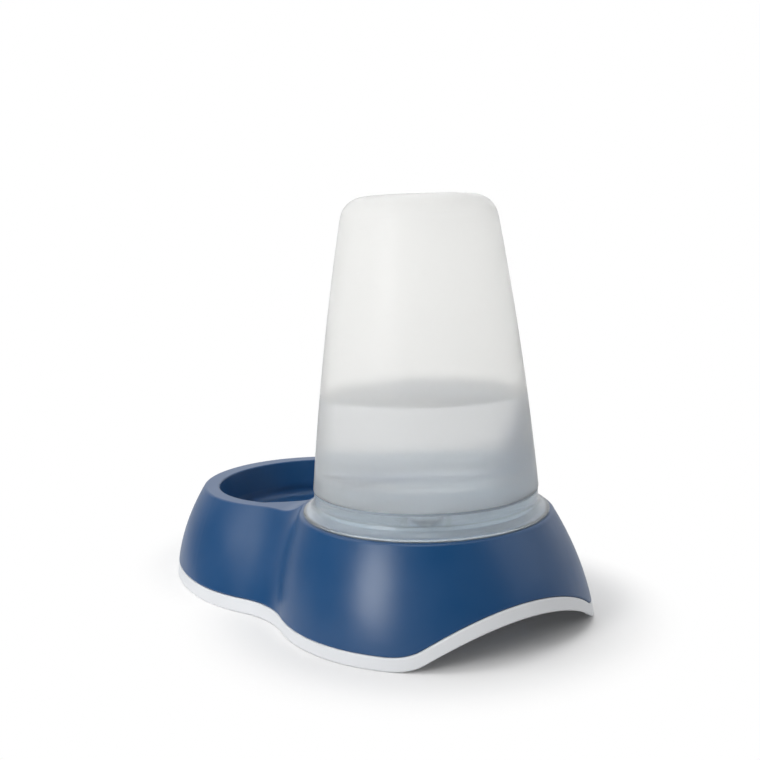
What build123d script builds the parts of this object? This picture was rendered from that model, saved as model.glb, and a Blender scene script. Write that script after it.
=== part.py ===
"""Gravity pet water dispenser: a two-lobed base with a drinking bowl and a lift-off inverted tank.

Millimetres, +Z up. The origin is at the middle of the footprint, on the floor. The bowl is
towards -Y, the tank towards +Y, and X = 0 is the mirror plane.
"""

from math import atan2, cos, pi, sin, sqrt, tan
import os

from build123d import *

# Base wall, seen from above: two lobes joined by a hollow waist on each side
lobe_spacing = 96.2           # tank axis to the centre of the bowl lobe, at the floor
tower_foot_radius = 87.7
tower_foot_shift = 5.2        # the tower lobe reaches back by this much at the floor
tower_top_radius = 69.7
tower_bulge = 3.2             # how far the tower wall stands proud of a straight slope
bowl_foot_radius = 100.6
bowl_foot_reach = 119.5       # the bowl lobe is longer than wide in front of its centre
bowl_rim_radius = 71.6
bowl_rim_reach = 75.2
bowl_rim_spacing = 127.4      # tank axis to the centre of the bowl lobe, at the rim
bowl_bulge = 3.7
waist_foot_radius = 59.4
waist_rim_radius = 44.0

# Base, heights
rim_height = 49.3
deck_height = 56.9
saddle_gap = 3.2              # from the lid's flange to the fall towards the bowl
saddle_run = 20.0             # length of that fall
saddle_crest = 2.5            # rounding at its upper end
shell_wall = 2.6
rim_rounding = 2.0
basin_rounding = 1.0
seam_rounding = 0.8           # along the joint of shell and trim, and under the trim

# Basin: the drinking bowl, the well under the tank and the passage between them
bowl_opening_radius = 62.7
bowl_opening_spacing = 127.3
bowl_draft = 9.0              # degrees
bowl_corner = 13.0
basin_floor = 12.0            # top of the floor above the table
basin_wall = 2.4
saddle_edge = 77.8            # tank axis to the deck's front edge
saddle_radius = 92.0          # that edge bows towards the tank
saddle_corner = 4.0
well_radius = 61.5
well_draft = 5.0
well_corner = 8.0
passage_width = 64.0
passage_height = 33.0
passage_corner = 6.0

# Foot trim: the soft band along the lower edge
trim_height = 6.7
trim_wall = 3.6
tongue_height = 4.0           # lip that grips the inside of the shell
tongue_wall = 1.4

# Arch in the rear wall, where fingers reach under
arch_half_width = 59.0
arch_rise = 19.8
arch_foot_radius = 24.5

# Lid: screw cap that closes the tank and seats it on the deck
flange_radius = 67.8
flange_lip = 1.4
flange_seat = 2.2             # width of the rim that stands on the deck
flare_rise = 7.7              # deck to where the flare meets the upright band
lid_band_radius = 61.6
lid_band_rise = 11.5          # deck to the shoulder that carries the tank
lid_wall = 2.0
lid_rounding = 0.5            # on the lip, the collar's top and the spigot's lower edge
collar_radius = 59.0
collar_height = 11.0
spigot_clearance = 0.6
spigot_depth = 4.5
lid_floor_rise = 5.1          # deck to the upper edge of the lid's cone
outlet_bore_radius = 12.0
outlet_wall = 1.8
outlet_mouth = 33.0           # its lower end sets the water level
seat_height = 49.0
seat_bore_radius = 6.5
guide_hub_radius = 4.4
guide_height = 3.5
guide_drop = 5.5              # from the seat's underside to the top of the guide
guide_arm_width = 2.0
guide_arm_count = 3

# Gasket between the lid's shoulder and the tank
gasket_thickness = 1.2
gasket_clearance = 0.4

# Tank, lengths from its mouth
mouth_radius = 62.0
mid_length = 75.4
mid_radius = 53.5
shoulder_length = 144.9
shoulder_radius = 42.7
shoulder_rounding = 13.0
tank_length = 157.7
tank_wall = 1.8
neck_depth = 12.0
neck_clearance = 0.4
mouth_rounding = 0.7

# Valve: a plunger that the post in the well holds open
valve_lift = 5.0              # gap between the seal and its seat when open
stem_radius = 2.0
stem_clearance = 0.1
stem_tip = 1.0                # stem below the clip
plunger_radius = 9.6
plunger_thickness = 2.0
plunger_dish = 0.8
seal_radius = 9.2
seal_thickness = 1.6
clip_radius = 5.4
clip_thickness = 1.8
clip_rim = 0.6
post_height = 15.0            # above the basin's floor
post_radius = 3.6
post_rib_width = 1.8
post_rib_reach = 10.0
post_rib_height = 9.0
post_rib_count = 3
spring_wire_radius = 0.45
spring_radius = 3.4           # to the centre of the wire
spring_turns = 5
spring_end_gap = 0.05

# Places worked out from the sizes above
wall_levels = [deck_height * share for share in (0.0, 0.14, 0.35, 0.6, 0.84, 1.06)]
big = 400.0


def blend(low, high, share):
    return low + (high - low) * share


def bulged(low, high, share, bulge):
    return blend(low, high, share) + 4 * bulge * share * (1 - share)


def tower_lobe(height):
    """Radius of the tower lobe and how far its centre lies behind the tank axis."""
    share = height / deck_height
    return bulged(tower_foot_radius, tower_top_radius, share, tower_bulge), tower_foot_shift * (1 - share)


def bowl_lobe(height):
    """Radius of the bowl lobe, its reach to the front and its centre in front of the tank axis."""
    share = height / rim_height
    radius = bulged(bowl_foot_radius, bowl_rim_radius, share, bowl_bulge)
    reach = bulged(bowl_foot_reach, bowl_rim_reach, share, bowl_bulge)
    return radius, reach, blend(lobe_spacing, bowl_rim_spacing, share)


rear_reach = sum(tower_lobe(arch_rise))
front_reach = lobe_spacing + bowl_foot_reach
tank_y = (front_reach - rear_reach) / 2
bowl_y = tank_y - bowl_opening_spacing
tank_axis = Axis((0, tank_y, 0), (0, 0, 1))
bowl_axis = Axis((0, bowl_y, 0), (0, 0, 1))
tank_plane = Plane.XZ.offset(-tank_y)
bowl_plane = Plane.XZ.offset(-bowl_y)
flare_top = deck_height + flare_rise
lid_floor_edge = deck_height + lid_floor_rise
lid_shoulder = deck_height + lid_band_rise
collar_top = lid_shoulder + collar_height
mouth_height = lid_shoulder + gasket_thickness
mid_height = mouth_height + mid_length
shoulder_height = mouth_height + shoulder_length
tank_top = mouth_height + tank_length
seal_bottom = seat_height + valve_lift
plunger_bottom = seal_bottom + seal_thickness
guide_top = seat_height - lid_wall - guide_drop
guide_bottom = guide_top - guide_height
post_top = basin_floor + post_height
clip_bottom = post_top + stem_tip
clip_top = clip_bottom + clip_thickness


def at_tank(height):
    """A horizontal plane at a height, centred on the tank axis."""
    return Plane((0, tank_y, height))


def wall_section(height, inset):
    """Outline of the base at a height, set in by inset: lobes and waists as tangent arcs."""
    tower_radius, tower_shift = tower_lobe(height)
    bowl_radius, bowl_reach, bowl_spacing = bowl_lobe(height)
    waist_r = blend(waist_foot_radius, waist_rim_radius, height / rim_height) + inset
    tower_r = tower_radius - inset
    bowl_r = bowl_radius - inset
    tower_c = tank_y + tower_shift
    bowl_c = tank_y - bowl_spacing
    span = tower_c - bowl_c
    to_tower = tower_r + waist_r
    to_bowl = bowl_r + waist_r
    waist_y = tower_c - (to_tower**2 - to_bowl**2 + span**2) / (2 * span)
    waist_x = sqrt(to_tower**2 - (tower_c - waist_y) ** 2)
    tower_angle = atan2(waist_y - tower_c, waist_x)
    bowl_angle = atan2(waist_y - bowl_c, waist_x)

    def on_arc(centre_x, centre_y, radius, angle):
        return (centre_x + radius * cos(angle), centre_y + radius * sin(angle))

    rear = on_arc(0, tower_c, tower_r, pi / 2)
    tower_mid = on_arc(0, tower_c, tower_r, (pi / 2 + tower_angle) / 2)
    tower_end = on_arc(0, tower_c, tower_r, tower_angle)
    waist_mid = on_arc(waist_x, waist_y, waist_r, pi + (tower_angle + bowl_angle) / 2)
    bowl_end = on_arc(0, bowl_c, bowl_r, bowl_angle)
    bowl_mid = on_arc(0, bowl_c, bowl_r, bowl_angle / 2)
    bowl_side = (bowl_r, bowl_c)

    def mirrored(point):
        return (-point[0], point[1])

    with BuildSketch(Plane.XY.offset(height)) as section:
        with BuildLine():
            ThreePointArc(rear, tower_mid, tower_end)
            ThreePointArc(tower_end, waist_mid, bowl_end)
            ThreePointArc(bowl_end, bowl_mid, bowl_side)
            EllipticalCenterArc((0, bowl_c), bowl_r, bowl_reach - inset, 0, arc_size=-90)
            EllipticalCenterArc((0, bowl_c), bowl_r, bowl_reach - inset, -90, arc_size=-90)
            ThreePointArc(mirrored(bowl_side), mirrored(bowl_mid), mirrored(bowl_end))
            ThreePointArc(mirrored(bowl_end), mirrored(waist_mid), mirrored(tower_end))
            ThreePointArc(mirrored(tower_end), mirrored(tower_mid), rear)
        make_face()
    return section.sketch


def above_deck(drop):
    """Everything over the rim, the fall and the deck, lowered by drop."""
    fall_start = flange_radius + saddle_gap
    fall_end = fall_start + saddle_run
    low = rim_height - drop
    high = deck_height - drop
    with BuildPart() as region:
        with BuildSketch(tank_plane) as profile:
            with BuildLine():
                Line((0, high), (fall_start, high))
                TangentArc((fall_end, low), (fall_start, high), tangent=(-1, 0))
                Polyline((fall_end, low), (big, low), (big, big), (0, big), (0, high))
            make_face()
            fillet(profile.vertices().sort_by_distance((fall_start, high))[0], saddle_crest)
        revolve(axis=tank_axis)
    return region.part


def below_foot(lift):
    """Everything under the lower edge, arch included, raised by lift."""
    arch_radius = (arch_half_width**2 + arch_rise**2) / (2 * arch_rise)
    arch_centre = arch_rise - arch_radius
    foot_x = sqrt((arch_radius + arch_foot_radius) ** 2 - (arch_foot_radius - arch_centre) ** 2)
    share = arch_radius / (arch_radius + arch_foot_radius)
    join_x = foot_x * share
    join_z = blend(arch_centre, arch_foot_radius, share) + lift
    with BuildPart() as region:
        with BuildSketch(Plane.XY.offset(lift)):
            Rectangle(big, big)
        extrude(amount=-big)
        with BuildSketch(tank_plane):
            with BuildLine():
                ThreePointArc((-join_x, join_z), (0, arch_rise + lift), (join_x, join_z))
                TangentArc((foot_x, lift), (join_x, join_z), tangent=(-1, 0))
                Polyline((foot_x, lift), (foot_x, lift - 1), (-foot_x, lift - 1), (-foot_x, lift))
                TangentArc((-foot_x, lift), (-join_x, join_z), tangent=(1, 0))
            make_face()
        extrude(amount=-big)
    return region.part


def wall_form(inset):
    """The base's outer form as a solid, without its top and foot cuts."""
    with BuildPart() as form:
        loft([wall_section(height, inset) for height in wall_levels])
    return form.part


def dish(plane, axis, top_radius, draft, corner, grow):
    """Round hollow with a drafted wall and a rounded corner, grown by grow."""
    top = deck_height + basin_wall
    floor = basin_floor - grow
    top_reach = top_radius + grow + (top - rim_height) * tan(draft * pi / 180)
    floor_reach = top_radius + grow - (rim_height - floor) * tan(draft * pi / 180)
    with BuildPart() as hollow:
        with BuildSketch(plane) as profile:
            with BuildLine():
                Polyline((0, floor), (floor_reach, floor), (top_reach, top), (0, top), close=True)
            make_face()
            fillet(profile.vertices().group_by(Axis.Y)[0].sort_by(Axis.X)[-1], corner + grow)
        revolve(axis=axis)
    return hollow.part


def basin_form(grow):
    """The bowl, the well and the passage between them as one solid, grown by grow."""
    floor = basin_floor - grow
    saddle_centre = tank_y - saddle_edge - saddle_radius
    with BuildPart() as bowl:
        add(dish(bowl_plane, bowl_axis, bowl_opening_radius, bowl_draft, bowl_corner, grow))
        with BuildSketch(Plane.XY):
            with Locations((0, saddle_centre)):
                Circle(saddle_radius + grow)
        extrude(amount=big, mode=Mode.INTERSECT)
        upright = bowl.edges().filter_by(lambda edge: edge.bounding_box().size.Z > bowl_corner + grow)
        fillet(upright.sort_by(Axis.Y)[-2:], saddle_corner + grow)
    with BuildPart() as basin:
        add(bowl.part)
        add(dish(tank_plane, tank_axis, well_radius, well_draft, well_corner, grow))
        with BuildSketch(tank_plane):
            with Locations((0, floor)):
                RectangleRounded(passage_width + 2 * grow, passage_height + 2 * grow, passage_corner + grow,
                                 align=(Align.CENTER, Align.MIN))
        extrude(amount=saddle_edge + bowl_corner)
    return basin.part


outer_wall = wall_form(0)
inner_wall = wall_form(shell_wall)

# Base shell: one moulding, hollow underneath
with BuildPart() as base_form:
    add(outer_wall)
    add(above_deck(0), mode=Mode.SUBTRACT)
    fillet(new_edges(outer_wall, above_deck(0), combined=base_form.part), rim_rounding)
    topped = base_form.part
    add(below_foot(trim_height), mode=Mode.SUBTRACT)
    fillet(new_edges(topped, below_foot(trim_height), combined=base_form.part), seam_rounding)

with BuildPart() as base_hollow:
    add(inner_wall)
    add(above_deck(shell_wall), mode=Mode.SUBTRACT)

with BuildPart() as basin_shell:
    add(basin_form(basin_wall))
    add(above_deck(0), mode=Mode.SUBTRACT)

with BuildPart() as base_shell:
    basin_space = basin_form(0)
    add(base_form.part)
    add(base_hollow.part, mode=Mode.SUBTRACT)
    add(basin_shell.part)
    filled = base_shell.part
    add(basin_space, mode=Mode.SUBTRACT)
    fillet(new_edges(filled, basin_space, combined=base_shell.part), basin_rounding)
    with BuildSketch(at_tank(basin_floor)):
        Circle(post_radius)
    extrude(amount=post_height)
    with BuildSketch(at_tank(basin_floor)):
        with PolarLocations(post_rib_reach / 2, post_rib_count, start_angle=90):
            Rectangle(post_rib_reach, post_rib_width)
    extrude(amount=post_rib_height)

# Foot trim: a band under the shell's lower edge, with a tongue inside the wall
with BuildPart() as trim_tongue:
    add(inner_wall)
    add(wall_form(shell_wall + tongue_wall), mode=Mode.SUBTRACT)
    add(below_foot(trim_height + tongue_height), mode=Mode.INTERSECT)
    add(below_foot(trim_height - tongue_wall), mode=Mode.SUBTRACT)

with BuildPart() as foot_trim:
    trim_range = below_foot(trim_height) - below_foot(0)
    add(outer_wall)
    add(trim_range, mode=Mode.INTERSECT)
    fillet(new_edges(outer_wall, trim_range, combined=foot_trim.part), seam_rounding)
    add(wall_form(trim_wall), mode=Mode.SUBTRACT)
    add(trim_tongue.part)
    add(below_foot(0), mode=Mode.SUBTRACT)

# Tank: tapered bottle, upside down, with a thick plain neck for the thread
with BuildPart() as tank:
    neck_radius = collar_radius + neck_clearance
    neck_top = mouth_height + neck_depth
    inner_top = tank_top - tank_wall
    top_radius = shoulder_radius - shoulder_rounding / 4
    with BuildSketch(tank_plane) as profile:
        with BuildLine():
            Line((0, mouth_height), (mouth_radius, mouth_height))
            ThreePointArc((mouth_radius, mouth_height), (mid_radius, mid_height),
                          (shoulder_radius, shoulder_height))
            Polyline((shoulder_radius, shoulder_height), (top_radius, tank_top), (0, tank_top),
                     (0, mouth_height))
        make_face()
        fillet(profile.vertices().group_by(Axis.Y)[-1].sort_by(Axis.X)[-1], shoulder_rounding)
        fillet(profile.vertices().group_by(Axis.Y)[0].sort_by(Axis.X)[-1], mouth_rounding)
    revolve(axis=tank_axis)
    with BuildSketch(tank_plane) as hollow:
        with BuildLine():
            Polyline((0, mouth_height), (neck_radius, mouth_height), (neck_radius, neck_top),
                     (collar_radius, neck_top + neck_clearance))
            ThreePointArc((collar_radius, neck_top + neck_clearance), (mid_radius - tank_wall, mid_height),
                          (shoulder_radius - tank_wall, shoulder_height))
            Polyline((shoulder_radius - tank_wall, shoulder_height), (top_radius - tank_wall, inner_top),
                     (0, inner_top), (0, mouth_height))
        make_face()
        fillet(hollow.vertices().group_by(Axis.Y)[-1].sort_by(Axis.X)[-1], shoulder_rounding - tank_wall)
    revolve(axis=tank_axis, mode=Mode.SUBTRACT)

# Lid: collar inside the tank's neck, flange on the deck, spigot in the well, outlet and valve seat
with BuildPart() as lid:
    spigot_radius = well_radius - spigot_clearance
    spigot_inner = spigot_radius - lid_wall
    spigot_bottom = deck_height - spigot_depth
    collar_inner = collar_radius - lid_wall
    lip_top = deck_height + flange_lip
    seat_edge = flange_radius - flange_seat
    flare_inside = flare_top - lid_wall
    rounded = [(flange_radius, lip_top), (collar_radius, collar_top), (collar_inner, collar_top),
               (spigot_radius, spigot_bottom), (spigot_inner, spigot_bottom)]
    with BuildSketch(tank_plane) as profile:
        with BuildLine():
            Polyline((collar_radius, collar_top), (collar_radius, lid_shoulder),
                     (lid_band_radius, lid_shoulder), (lid_band_radius, flare_top))
            TangentArc((lid_band_radius, flare_top), (flange_radius, lip_top), tangent=(0, -1))
            Polyline((flange_radius, lip_top), (flange_radius, deck_height), (seat_edge, deck_height))
            TangentArc((spigot_radius, flare_inside), (seat_edge, deck_height), tangent=(0, -1))
            Polyline((spigot_radius, flare_inside), (spigot_radius, spigot_bottom),
                     (spigot_inner, spigot_bottom), (spigot_inner, lid_floor_edge - lid_wall),
                     (outlet_bore_radius, seat_height - lid_wall), (seat_bore_radius, seat_height - lid_wall),
                     (seat_bore_radius, seat_height), (outlet_bore_radius, seat_height),
                     (collar_inner, lid_floor_edge), (collar_inner, collar_top), (collar_radius, collar_top))
        make_face()
        fillet([profile.vertices().sort_by_distance(corner)[0] for corner in rounded], lid_rounding)
    revolve(axis=tank_axis)
    with BuildSketch(at_tank(outlet_mouth)):
        Circle(outlet_bore_radius + outlet_wall)
        Circle(outlet_bore_radius, mode=Mode.SUBTRACT)
    extrude(amount=seat_height - lid_wall / 2 - outlet_mouth)
    with BuildSketch(at_tank(guide_bottom)):
        Circle(guide_hub_radius)
        with PolarLocations(outlet_bore_radius / 2, guide_arm_count, start_angle=90):
            Rectangle(outlet_bore_radius + outlet_wall, guide_arm_width)
        Circle(stem_radius + stem_clearance, mode=Mode.SUBTRACT)
    extrude(amount=guide_height)

# Gasket: flat ring on the lid's shoulder, under the tank's mouth
with BuildPart() as lid_gasket:
    with BuildSketch(at_tank(lid_shoulder)):
        Circle(lid_band_radius)
        Circle(collar_radius + gasket_clearance, mode=Mode.SUBTRACT)
    extrude(amount=gasket_thickness)

# Valve plunger: a dished head on a stem that stands on the post
with BuildPart() as valve_plunger:
    dish_bottom = plunger_bottom + plunger_thickness - plunger_dish
    with BuildSketch(tank_plane):
        with BuildLine():
            Polyline((0, dish_bottom), (0, post_top), (stem_radius, post_top), (stem_radius, plunger_bottom),
                     (plunger_radius, plunger_bottom), (plunger_radius, dish_bottom + plunger_dish))
            TangentArc((0, dish_bottom), (plunger_radius, dish_bottom + plunger_dish), tangent=(1, 0))
        make_face()
    revolve(axis=tank_axis)

# Valve seal: soft washer under the head
with BuildPart() as valve_seal:
    with BuildSketch(at_tank(seal_bottom)):
        Circle(seal_radius)
        Circle(stem_radius, mode=Mode.SUBTRACT)
    extrude(amount=seal_thickness)

# Valve clip: cup on the stem's lower end that carries the spring
with BuildPart() as valve_clip:
    with BuildSketch(at_tank(clip_bottom)):
        Circle(clip_radius)
        Circle(stem_radius, mode=Mode.SUBTRACT)
    extrude(amount=clip_thickness)
    with BuildSketch(at_tank(clip_top)):
        Circle(clip_radius)
        Circle(clip_radius - clip_rim, mode=Mode.SUBTRACT)
    extrude(amount=clip_rim)

# Valve spring: between the clip and the guide, round the stem
with BuildPart() as valve_spring:
    spring_length = guide_bottom - clip_top - 2 * spring_end_gap
    spring_pitch = (spring_length - 2 * spring_wire_radius) / spring_turns
    spring_start = clip_top + spring_end_gap + spring_wire_radius
    with BuildLine():
        coil = Helix(spring_pitch, spring_pitch * spring_turns, spring_radius,
                     center=(0, tank_y, spring_start))
    with BuildSketch(Plane(coil @ 0, z_dir=coil % 0)):
        RegularPolygon(spring_wire_radius, 6)
    sweep(is_frenet=True)
print("gap between the spring's turns, mm:", round(spring_pitch - 2 * spring_wire_radius, 2))

os.makedirs("parts", exist_ok=True)
base_shell.part.label = "base_shell"
export_step(base_shell.part, "parts/base_shell.step")
foot_trim.part.label = "foot_trim"
export_step(foot_trim.part, "parts/foot_trim.step")
tank.part.label = "tank"
export_step(tank.part, "parts/tank.step")
lid.part.label = "lid"
export_step(lid.part, "parts/lid.step")
lid_gasket.part.label = "lid_gasket"
export_step(lid_gasket.part, "parts/lid_gasket.step")
valve_plunger.part.label = "valve_plunger"
export_step(valve_plunger.part, "parts/valve_plunger.step")
valve_seal.part.label = "valve_seal"
export_step(valve_seal.part, "parts/valve_seal.step")
valve_clip.part.label = "valve_clip"
export_step(valve_clip.part, "parts/valve_clip.step")
valve_spring.part.label = "valve_spring"
export_step(valve_spring.part, "parts/valve_spring.step")
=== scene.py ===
from math import pi, radians

import bmesh
import bpy
from mathutils import Matrix, Vector


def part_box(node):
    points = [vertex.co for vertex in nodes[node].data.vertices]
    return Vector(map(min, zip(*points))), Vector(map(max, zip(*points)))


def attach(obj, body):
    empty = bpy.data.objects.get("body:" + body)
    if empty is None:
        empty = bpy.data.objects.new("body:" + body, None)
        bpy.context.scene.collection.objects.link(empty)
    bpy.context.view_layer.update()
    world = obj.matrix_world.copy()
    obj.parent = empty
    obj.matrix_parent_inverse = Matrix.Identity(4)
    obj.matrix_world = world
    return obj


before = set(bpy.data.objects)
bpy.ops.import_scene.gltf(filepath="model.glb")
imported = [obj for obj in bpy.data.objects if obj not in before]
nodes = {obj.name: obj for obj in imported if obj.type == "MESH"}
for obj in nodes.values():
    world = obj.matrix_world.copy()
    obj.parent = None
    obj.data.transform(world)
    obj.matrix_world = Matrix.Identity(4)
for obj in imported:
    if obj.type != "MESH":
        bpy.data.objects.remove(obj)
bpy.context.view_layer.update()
scene = bpy.context.scene

# Camera, in metres and degrees, found from the photograph's outlines
CAMERA_PLACE = (0.3099, 0.5084, 0.2013)
CAMERA_TURN = 147.58
CAMERA_DOWN = 7.62
CAMERA_ROLL = -1.735
IMAGE_PIXELS = 760
FOCAL_PIXELS = 1000.0
SENSOR = 36.0
CLIP_START = 0.01

# Sizes that the frame gives
tank_low, tank_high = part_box("tank")
lid_low, lid_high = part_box("lid")
TANK_Y = (tank_low.y + tank_high.y) / 2
TANK_MOUTH = tank_low.z
COLLAR_TOP = lid_high.z
OUTLET_END = lid_low.z

# Sizes that the CAD model names, in metres. The tank's wall:
TANK_WALL = 0.0018
MOUTH_RADIUS = 0.062
MID_HEIGHT = TANK_MOUTH + 0.0754
MID_RADIUS = 0.0535
SHOULDER_HEIGHT = TANK_MOUTH + 0.1449
SHOULDER_RADIUS = 0.0427
# the tank's neck inside, with the lid's collar, floor and outlet in it and the valve:
NECK_RADIUS = 0.0594
NECK_TOP = TANK_MOUTH + 0.012
COLLAR_RADIUS = 0.059
COLLAR_INNER = 0.057
LID_FLOOR_EDGE = TANK_MOUTH - 0.0076
OUTLET_RADIUS = 0.012
SEAT_HEIGHT = 0.049
PLUNGER_TOP = 0.0576
PLUNGER_REACH = 0.0104
# the base's bowl, its well under the tank, and the passage between them:
BASIN_FLOOR = 0.012
RIM_HEIGHT = 0.0493
BOWL_CENTRE_Y = TANK_Y - 0.1273
BOWL_RADIUS = 0.0627
BOWL_SLOPE = 0.158
BOWL_CORNER = 0.013
WELL_RADIUS = 0.0615
WELL_SLOPE = 0.0875
WELL_CORNER = 0.008
SADDLE_EDGE = 0.0778
SADDLE_RADIUS = 0.092
PASSAGE_HALF = 0.032

# Water. The bowl's stands just under the outlet's lower end. It wets the walls: its mesh reaches
# a little into the plastic
OUTLET_GAP = 0.0002
TANK_WATER_LEVEL = 0.1215
BOWL_WATER_LEVEL = OUTLET_END - OUTLET_GAP
WETTING = 0.0001
PLUNGER_ROOM = 0.0005
RING_STEPS = 192
WALL_STEPS = 24
CORNER_STEPS = 8
TANK_WATER_CREASE = 40
BOWL_WATER_CREASE = 30


def linked(name, data):
    """A new object of the scene."""
    made = bpy.data.objects.new(name, data)
    scene.collection.objects.link(made)
    return made


# Shader nodes
def added(tree, kind, **settings):
    """A new node with its own settings, such as an operation."""
    made = tree.nodes.new("ShaderNode" + kind)
    for setting, value in settings.items():
        setattr(made, setting, value)
    return made


def worked_out(tree, operation, first, second):
    """The output of a Math node on two outputs, or on an output and a number."""
    made = added(tree, "Math", operation=operation)
    for socket, value in zip(made.inputs, (first, second)):
        if isinstance(value, float):
            socket.default_value = value
        else:
            tree.links.new(value, socket)
    return made.outputs[0]


def eased(tree, value, start, end, low=0.0, high=1.0):
    """A smooth step from low to high, while the value goes from start to end."""
    made = added(tree, "MapRange", interpolation_type="SMOOTHSTEP")
    for socket, number in zip(("From Min", "From Max", "To Min", "To Max"), (start, end, low, high)):
        made.inputs[socket].default_value = number
    tree.links.new(value, made.inputs["Value"])
    return made.outputs["Result"]


def noise(tree, place, scale, detail):
    """The output of a Noise node at a place's coordinates."""
    made = added(tree, "TexNoise")
    made.inputs["Scale"].default_value = scale
    made.inputs["Detail"].default_value = detail
    tree.links.new(place, made.inputs["Vector"])
    return made.outputs["Fac"]


def seen_rays(tree):
    """1 for rays from the camera and for rays through clear pieces, and 0 for all others."""
    path = added(tree, "LightPath").outputs
    return worked_out(tree, "MAXIMUM", path["Is Camera Ray"], path["Is Transmission Ray"])


# Colours
BLACK = (0, 0, 0, 1)
WHITE = (1, 1, 1, 1)
DISPLAY_RANGE = 255


def srgb(red, green, blue):
    """A colour given as 0 to 255 display values, as linear RGBA, by the sRGB standard's curve."""
    def linear(value):
        value /= DISPLAY_RANGE
        return value / 12.92 if value <= 0.04045 else ((value + 0.055) / 1.055) ** 2.4
    return (linear(red), linear(green), linear(blue), 1.0)


def mixed(colour, other, share):
    """The colour with a share of the other in it."""
    return tuple(a + (b - a) * share for a, b in zip(colour, other))


# Materials. The clouds vary a colour, more to the dark than to the light; the grain is a fine bump
CLOUD_SCALE = 25.0
CLOUD_DETAIL = 3.0
CLOUD_DARK = 0.3
CLOUD_LIGHT = 0.7
DARK_TO_LIGHT = 3
GRAIN_SCALE = 900.0
GRAIN_DETAIL = 2.0
GRAIN_HEIGHT = 0.0001


def plastic(name, colour, roughness, grain=0.0, shade=0.0, **sockets):
    """Moulded plastic: colour that varies by shade, a roughness and a grain in the surface."""
    material = bpy.data.materials.new(name)
    material.use_nodes = True
    tree = material.node_tree
    shader = tree.nodes["Principled BSDF"]
    place = added(tree, "TexCoord").outputs["Object"]
    ramp = added(tree, "ValToRGB")
    dark, light = ramp.color_ramp.elements
    dark.position = CLOUD_DARK
    dark.color = mixed(colour, BLACK, shade)
    light.position = CLOUD_LIGHT
    light.color = mixed(colour, WHITE, shade / DARK_TO_LIGHT)
    tree.links.new(noise(tree, place, CLOUD_SCALE, CLOUD_DETAIL), ramp.inputs["Fac"])
    tree.links.new(ramp.outputs["Color"], shader.inputs["Base Color"])
    shader.inputs["Roughness"].default_value = roughness
    if grain:
        bump = added(tree, "Bump")
        bump.inputs["Strength"].default_value = grain
        bump.inputs["Distance"].default_value = GRAIN_HEIGHT
        tree.links.new(noise(tree, place, GRAIN_SCALE, GRAIN_DETAIL), bump.inputs["Height"])
        tree.links.new(bump.outputs["Normal"], shader.inputs["Normal"])
    for socket, value in sockets.items():
        shader.inputs[socket.replace("_", " ")].default_value = value
    return material


def dress(node, material):
    """Gives a CAD node one material in place of its own."""
    mesh = nodes[node].data
    mesh.materials.clear()
    mesh.materials.append(material)


BLUE = srgb(6, 66, 113)
SOFT_WHITE = srgb(219, 221, 224)
FROSTED = srgb(249, 249, 248)
MILKY = srgb(240, 249, 255)
GREY = srgb(140, 150, 160)
PLUNGER_WHITE = srgb(228, 229, 230)
CLIP_WHITE = srgb(222, 223, 225)
DARK = srgb(52, 54, 58)
STEEL = srgb(200, 200, 202)
CLEAR = srgb(250, 252, 255)

dress("base_shell", plastic("blue_plastic", BLUE, roughness=0.34, grain=0.1, shade=0.04,
                            Specular_IOR_Level=0.45))
dress("foot_trim", plastic("white_rubber", SOFT_WHITE, roughness=0.5, grain=0.2, shade=0.03))
dress("tank", plastic("frosted_plastic", FROSTED, roughness=0.3, grain=0.1, shade=0.01,
                      Transmission_Weight=0.83, IOR=1.15))
dress("lid", plastic("milky_plastic", MILKY, roughness=0.24, shade=0.01,
                     Transmission_Weight=0.86, IOR=1.3, Sheen_Weight=0.3, Sheen_Roughness=0.5))
dress("lid_gasket", plastic("grey_rubber", GREY, roughness=0.5, grain=0.2))
dress("valve_plunger", plastic("white_plastic", PLUNGER_WHITE, roughness=0.35, grain=0.1, shade=0.02))
dress("valve_clip", plastic("white_clip_plastic", CLIP_WHITE, roughness=0.4, grain=0.1, shade=0.02))
dress("valve_seal", plastic("dark_rubber", DARK, roughness=0.55, grain=0.2, shade=0.03))
dress("valve_spring", plastic("spring_steel", STEEL, roughness=0.28, grain=0.2, Metallic=1.0))
water_material = plastic("water", CLEAR, roughness=0.0, Transmission_Weight=1.0, IOR=1.33)


# Water, as closed meshes
def meshed(name, shape):
    """A new object of the scene from a bmesh, which it frees."""
    mesh = bpy.data.meshes.new(name)
    shape.to_mesh(mesh)
    shape.free()
    return linked(name, mesh)


def revolved(name, profile, centre_y):
    """A closed mesh turned round the vertical line through (0, centre_y).

    Profile points are (radius, height).
    """
    shape = bmesh.new()
    axis = Vector((0, centre_y, 0))
    turns = [Matrix.Rotation(2 * pi * step / RING_STEPS, 3, "Z") for step in range(RING_STEPS)]
    rings = []
    for radius, height in profile:
        if radius == 0:
            rings.append([shape.verts.new((0, centre_y, height))])
        else:
            rings.append([shape.verts.new(turn @ Vector((radius, 0, height)) + axis) for turn in turns])
    for ring, after in zip(rings, rings[1:]):
        for step in range(RING_STEPS):
            corners = [ring[step % len(ring)], ring[(step + 1) % len(ring)],
                       after[(step + 1) % len(after)], after[step % len(after)]]
            shape.faces.new(dict.fromkeys(corners))
    bmesh.ops.recalc_face_normals(shape, faces=shape.faces)
    return meshed(name, shape)


def smooth(piece, crease):
    """Smooth shading, with sharp edges where faces meet at more than crease degrees."""
    for polygon in piece.data.polygons:
        polygon.use_smooth = True
    piece.data.set_sharp_from_angle(angle=radians(crease))


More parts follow.
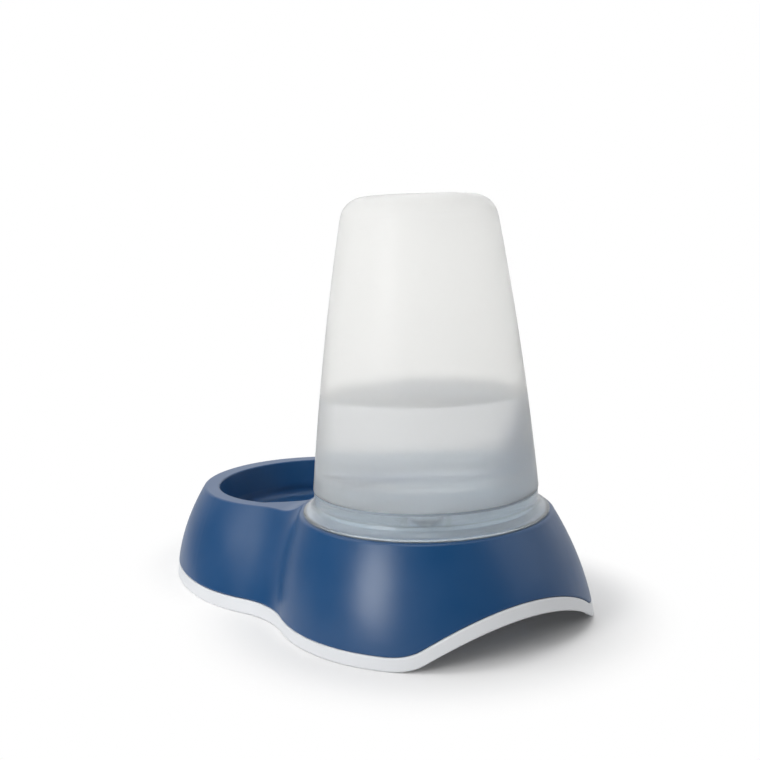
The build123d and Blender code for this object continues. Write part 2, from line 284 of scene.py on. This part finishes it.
def tank_radius(height):
    """Outer radius of the tank: the parabola through its mouth, its middle and its shoulder."""
    knots = ((TANK_MOUTH, MOUTH_RADIUS), (MID_HEIGHT, MID_RADIUS), (SHOULDER_HEIGHT, SHOULDER_RADIUS))
    total = 0
    for at, radius in knots:
        share = radius
        for other, _ in knots:
            if other != at:
                share *= (height - other) / (at - other)
        total += share
    return total


# Over the plunger, down to its seat, along the lid's floor, round the collar and up the tank's wall
cap = PLUNGER_TOP + PLUNGER_ROOM
seat = SEAT_HEIGHT - WETTING
collar_bore = COLLAR_INNER + WETTING
collar_side = COLLAR_RADIUS - WETTING
collar_top = COLLAR_TOP - WETTING
neck = NECK_RADIUS + WETTING
wall_low = NECK_TOP + NECK_RADIUS - COLLAR_RADIUS
wall_heights = [wall_low + (TANK_WATER_LEVEL - wall_low) * step / WALL_STEPS
                for step in range(WALL_STEPS + 1)]
tank_profile = [(0, cap), (PLUNGER_REACH, cap), (PLUNGER_REACH, seat), (OUTLET_RADIUS, seat),
                (collar_bore, LID_FLOOR_EDGE - WETTING), (collar_bore, collar_top),
                (collar_side, collar_top), (collar_side, TANK_MOUTH),
                (neck, TANK_MOUTH), (neck, NECK_TOP)]
tank_profile += [(tank_radius(height) - TANK_WALL + WETTING, height) for height in wall_heights]
tank_profile += [(0, TANK_WATER_LEVEL)]
tank_water = revolved("tank_water", tank_profile, TANK_Y)
tank_water.data.materials.append(water_material)
smooth(tank_water, TANK_WATER_CREASE)
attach(tank_water, "tank")


def dish_profile(radius, slope, corner):
    """Closed profile of a drafted dish from its floor to the water level, with a rounded corner."""
    floor_height = BASIN_FLOOR - WETTING
    floor_radius = radius - slope * (RIM_HEIGHT - floor_height) - corner * (1 - slope) + WETTING
    points = [(0, floor_height), (floor_radius, floor_height)]
    for step in range(1, CORNER_STEPS + 1):
        turn = Matrix.Rotation(pi / 2 * step / CORNER_STEPS, 2) @ Vector((0, -corner))
        points.append((floor_radius + turn.x, floor_height + corner + turn.y))
    top_radius = radius - slope * (RIM_HEIGHT - BOWL_WATER_LEVEL) + WETTING
    points += [(top_radius, BOWL_WATER_LEVEL), (0, BOWL_WATER_LEVEL)]
    return points


def cylinder(name, radius, height, centre_y):
    """An upright cylinder that stands on the floor."""
    return revolved(name, [(0, 0), (radius, 0), (radius, height), (0, height)], centre_y)


def block(name, size, place):
    """A block of three side lengths, round the point at place."""
    shape = bmesh.new()
    bmesh.ops.create_cube(shape, size=1.0)
    for vertex in shape.verts:
        vertex.co = Vector(place) + Vector(c * s for c, s in zip(vertex.co, size))
    return meshed(name, shape)


def merged(piece, other, operation):
    """Joins two closed meshes, or takes their common part, and removes the second."""
    step = piece.modifiers.new("join", "BOOLEAN")
    step.operation = operation
    step.solver = "EXACT"
    step.object = other
    bpy.context.view_layer.objects.active = piece
    bpy.ops.object.modifier_apply(modifier=step.name)
    bpy.data.objects.remove(other)


# The bowl ends at the saddle's round face, and the passage under the saddle leads to the well
bowl_water = revolved("bowl_water", dish_profile(BOWL_RADIUS, BOWL_SLOPE, BOWL_CORNER), BOWL_CENTRE_Y)
merged(bowl_water, cylinder("saddle", SADDLE_RADIUS + WETTING, RIM_HEIGHT,
                            TANK_Y - SADDLE_EDGE - SADDLE_RADIUS), "INTERSECT")
merged(bowl_water, revolved("well_water", dish_profile(WELL_RADIUS, WELL_SLOPE, WELL_CORNER), TANK_Y),
       "UNION")
channel_size = (2 * (PASSAGE_HALF + WETTING), SADDLE_EDGE + BOWL_CORNER,
                BOWL_WATER_LEVEL - BASIN_FLOOR + WETTING)
channel_place = (0, TANK_Y - channel_size[1] / 2, BOWL_WATER_LEVEL - channel_size[2] / 2)
merged(bowl_water, block("channel", channel_size, channel_place), "UNION")
bowl_water.data.materials.clear()
bowl_water.data.materials.append(water_material)
smooth(bowl_water, BOWL_WATER_CREASE)
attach(bowl_water, "base")

# Camera
camera_data = bpy.data.cameras.new("camera")
camera_data.sensor_fit = "HORIZONTAL"
camera_data.sensor_width = SENSOR
camera_data.lens = SENSOR * FOCAL_PIXELS / IMAGE_PIXELS
camera_data.clip_start = CLIP_START
camera = linked("camera", camera_data)
camera.matrix_world = (Matrix.Translation(CAMERA_PLACE) @ Matrix.Rotation(radians(CAMERA_TURN), 4, "Z")
                       @ Matrix.Rotation(radians(90 - CAMERA_DOWN), 4, "X")
                       @ Matrix.Rotation(radians(CAMERA_ROLL), 4, "Z"))
scene.camera = camera

# Floor: lit and shadowed as any pale surface near the object's two lobes. Away from them it fades
# to white for the rays that the camera sees
FLOOR_REACH = 6.0
FLOOR_WHITE = 0.77
FLOOR_ROUGHNESS = 0.9
FLOOR_LIFT = 0.05
TANK_LOBE_RADIUS = 0.105
BOWL_LOBE_RADIUS = 0.088
FADE_START = -0.016
FADE_END = 0.036
floor_mesh = bpy.data.meshes.new("floor")
floor_mesh.from_pydata([(-FLOOR_REACH, -FLOOR_REACH, 0), (FLOOR_REACH, -FLOOR_REACH, 0),
                        (FLOOR_REACH, FLOOR_REACH, 0), (-FLOOR_REACH, FLOOR_REACH, 0)],
                       [], [(0, 1, 2, 3)])
floor = linked("floor", floor_mesh)
floor_material = bpy.data.materials.new("floor")
floor_material.use_nodes = True
tree = floor_material.node_tree
shader = tree.nodes["Principled BSDF"]
shader.inputs["Base Color"].default_value = (FLOOR_WHITE, FLOOR_WHITE, FLOOR_WHITE, 1)
shader.inputs["Roughness"].default_value = FLOOR_ROUGHNESS
shader.inputs["Specular IOR Level"].default_value = 0.0
seen = seen_rays(tree)
glow = added(tree, "Emission")
tree.links.new(worked_out(tree, "MULTIPLY", seen, FLOOR_LIFT), glow.inputs["Strength"])
near = added(tree, "AddShader")
tree.links.new(shader.outputs[0], near.inputs[0])
tree.links.new(glow.outputs[0], near.inputs[1])
place = added(tree, "TexCoord")
gaps = []
for centre_y, radius in ((TANK_Y, TANK_LOBE_RADIUS), (BOWL_CENTRE_Y, BOWL_LOBE_RADIUS)):
    reach = added(tree, "VectorMath", operation="DISTANCE")
    reach.inputs[1].default_value = (0, centre_y, 0)
    tree.links.new(place.outputs["Object"], reach.inputs[0])
    gaps.append(worked_out(tree, "SUBTRACT", reach.outputs["Value"], radius))
away_from_both = worked_out(tree, "MINIMUM", *gaps)
faded = worked_out(tree, "MULTIPLY", eased(tree, away_from_both, FADE_START, FADE_END), seen)
white = added(tree, "Emission")
ends = added(tree, "MixShader")
tree.links.new(faded, ends.inputs["Fac"])
tree.links.new(near.outputs[0], ends.inputs[1])
tree.links.new(white.outputs[0], ends.inputs[2])
tree.links.new(ends.outputs[0], tree.nodes["Material Output"].inputs["Surface"])
floor_mesh.materials.append(floor_material)

# World: white to the camera. As a light it is bright behind the object and dim on the side where
# the photographer stands
WORLD_BACK = 1.0
WORLD_FRONT = 0.15
FRONT_SIDE = (0.78, 0.62, 0.0)
BACK_EDGE = -0.85
FRONT_EDGE = -0.1
MIX_FACTOR, MIX_FIRST, MIX_SECOND = 0, 2, 3     # sockets of a Mix node that mixes numbers
world = bpy.data.worlds.new("world")
scene.world = world
world.use_nodes = True
tree = world.node_tree
background = tree.nodes["Background"]
background.inputs["Color"].default_value = WHITE
along = added(tree, "VectorMath", operation="DOT_PRODUCT")
along.inputs[1].default_value = FRONT_SIDE
tree.links.new(added(tree, "TexCoord").outputs["Generated"], along.inputs[0])
strength = added(tree, "Mix", data_type="FLOAT")
room = eased(tree, along.outputs["Value"], BACK_EDGE, FRONT_EDGE, WORLD_BACK, WORLD_FRONT)
tree.links.new(seen_rays(tree), strength.inputs[MIX_FACTOR])
tree.links.new(room, strength.inputs[MIX_FIRST])
strength.inputs[MIX_SECOND].default_value = 1.0
tree.links.new(strength.outputs[0], background.inputs["Strength"])

# Lights
LAMP_AIM = Vector((0, 0, 0.08))


def softbox(name, turn, rise, distance, width, height, power):
    """A rectangular lamp that points at the object from an angle round it and a height above it."""
    data = bpy.data.lights.new(name, "AREA")
    data.shape = "RECTANGLE"
    data.size = width
    data.size_y = height
    data.energy = power
    lamp = linked(name, data)
    turned = Matrix.Rotation(radians(turn), 3, "Z") @ Matrix.Rotation(radians(-rise), 3, "Y")
    away = turned @ Vector((distance, 0, 0))
    lamp.location = LAMP_AIM + away
    lamp.rotation_euler = (-away).to_track_quat("-Z", "Y").to_euler()


softbox("key", turn=14.5, rise=22, distance=1.3, width=0.48, height=0.65, power=9.5)
softbox("side", turn=-38, rise=42, distance=1.4, width=0.3, height=0.4, power=1.2)
softbox("fill", turn=135, rise=30, distance=1.5, width=1.0, height=1.0, power=3.0)
softbox("top", turn=-60, rise=80, distance=1.6, width=1.6, height=1.6, power=17.0)

# Light passes many walls of plastic and water
CLEAR_BOUNCES = 32
GLOSS_BOUNCES = 12
scene.cycles.max_bounces = CLEAR_BOUNCES
scene.cycles.transmission_bounces = CLEAR_BOUNCES
scene.cycles.glossy_bounces = GLOSS_BOUNCES

scene.view_settings.view_transform = "Standard"
